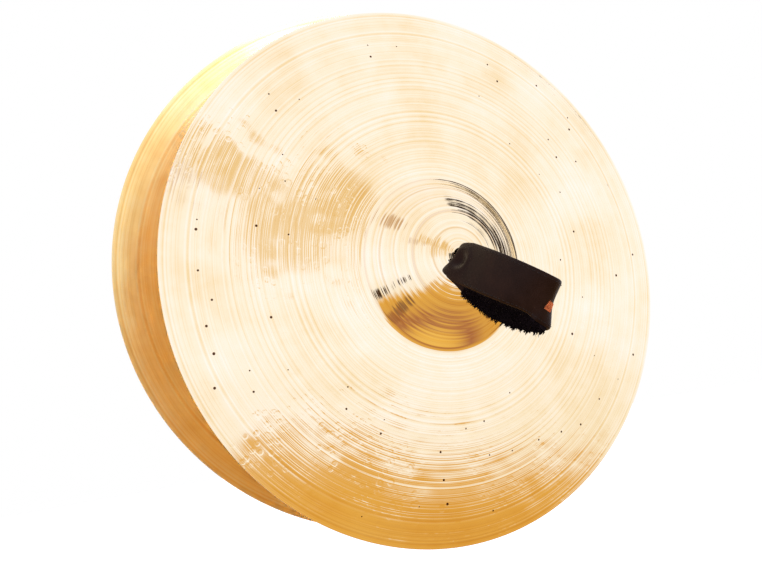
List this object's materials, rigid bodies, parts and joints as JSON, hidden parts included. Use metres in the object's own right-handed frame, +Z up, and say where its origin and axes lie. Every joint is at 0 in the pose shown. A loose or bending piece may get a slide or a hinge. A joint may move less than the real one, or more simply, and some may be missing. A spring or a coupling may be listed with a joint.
{
  "type": "hand cymbals",
  "caption": "Pair of round lathed bronze hand cymbals with bells, each held by a fleece-lined strap loop knotted through its centre hole.",
  "frame": {"origin": "middle of the front cymbal's hole, on the outer top of its bell", "axes": "+Y along the front cymbal's axis from the bell through the rim towards the other cymbal, +Z up, both cymbals standing on edge"},
  "size_m": [0.4754, 0.338, 0.4747],
  "materials": {
    "bronze": "lathed and hammered, bright traditional finish",
    "strap": "smooth black strap with a soft brownish sheen",
    "fleece": "black fleece pile",
    "leather": "black leather, flat tails",
    "thread": "orange-red sewing thread"
  },
  "bodies": {
    "front_cymbal": {"front_cymbal": "bronze"},
    "front_knot": {"front_strap_washer": "leather", "front_strap_neck": "leather", "front_knot_tail_1": "leather", "front_knot_tail_2": "leather", "front_knot_tail_3": "leather", "front_knot_tail_4": "leather"},
    "front_strap": {"front_strap_band": "strap", "front_strap_lining": "fleece", "front_bar_tack": "thread"},
    "rear_strap": {"rear_strap_band": "strap", "rear_strap_lining": "fleece", "rear_bar_tack": "thread"},
    "rear_knot": {"rear_strap_washer": "leather", "rear_strap_neck": "leather", "rear_knot_tail_1": "leather", "rear_knot_tail_2": "leather", "rear_knot_tail_3": "leather", "rear_knot_tail_4": "leather"},
    "rear_cymbal": {"rear_cymbal": "bronze"}
  },
  "joints": [
    {"name": "pull_apart", "type": "slide", "parent": "front_cymbal", "child": "rear_strap", "axis": [0, 1, 0], "range_m": [0, 0.3]},
    {"name": "rear_rock", "type": "hinge", "parent": "rear_strap", "child": "rear_knot", "pos_m": [-0.01146, 0.15091, 0.0175], "axis": [0, 0, 1], "range_deg": [0, 22]},
    {"name": "rear_spin", "type": "hinge", "parent": "rear_knot", "child": "rear_cymbal", "pos_m": [-0.01218, 0.14748, 0.0175], "axis": [0.2062, 0.9785, 0], "continuous": true},
    {"name": "front_spin", "type": "hinge", "parent": "front_cymbal", "child": "front_knot", "pos_m": [0, 0, 0], "axis": [0, -1, 0], "continuous": true},
    {"name": "front_flop", "type": "hinge", "parent": "front_knot", "child": "front_strap", "pos_m": [0, -0.0035, 0], "axis": [0.9255, 0, 0.3788], "range_deg": [-84, 12]}
  ]
}
